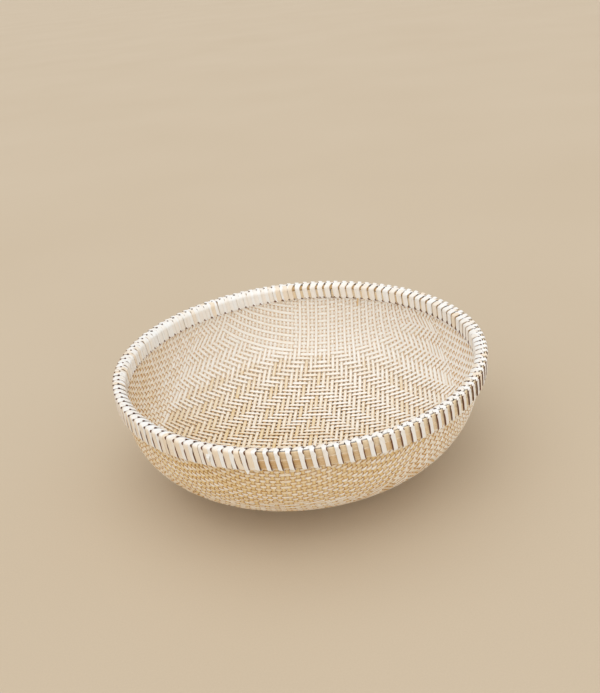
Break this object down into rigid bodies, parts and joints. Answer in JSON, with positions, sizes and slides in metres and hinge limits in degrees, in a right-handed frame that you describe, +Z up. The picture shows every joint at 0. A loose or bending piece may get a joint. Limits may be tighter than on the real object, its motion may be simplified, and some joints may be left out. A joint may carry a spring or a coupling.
{
  "type": "woven bamboo basket",
  "caption": "Shallow round woven bamboo bowl, its edge covered by a filler strip, clamped between bent hoops and lashed all round with flat split strips.",
  "frame": {"origin": "centre of the flat resting spot under the bowl", "axes": "+Z up along the axis the bowl is turned about, out of the open side; +Y away from the viewer of the front; +X to the right"},
  "size_m": [0.3, 0.3, 0.095],
  "materials": {
    "splint": "raw split bamboo, satin",
    "hoop": "bent bamboo, satin",
    "filler": "raw bamboo, matt",
    "lashing": "pale skived bamboo, satin"
  },
  "bodies": {
    "root": {"woven_bowl": "splint", "outer_hoop_upper": "hoop", "outer_hoop_lower": "hoop", "inner_hoop": "hoop", "rim_filler": "filler", "lashing_strip_1": "lashing", "lashing_strip_2": "lashing", "lashing_strip_3": "lashing", "lashing_strip_4": "lashing", "lashing_strip_5": "lashing"}
  },
  "joints": []
}
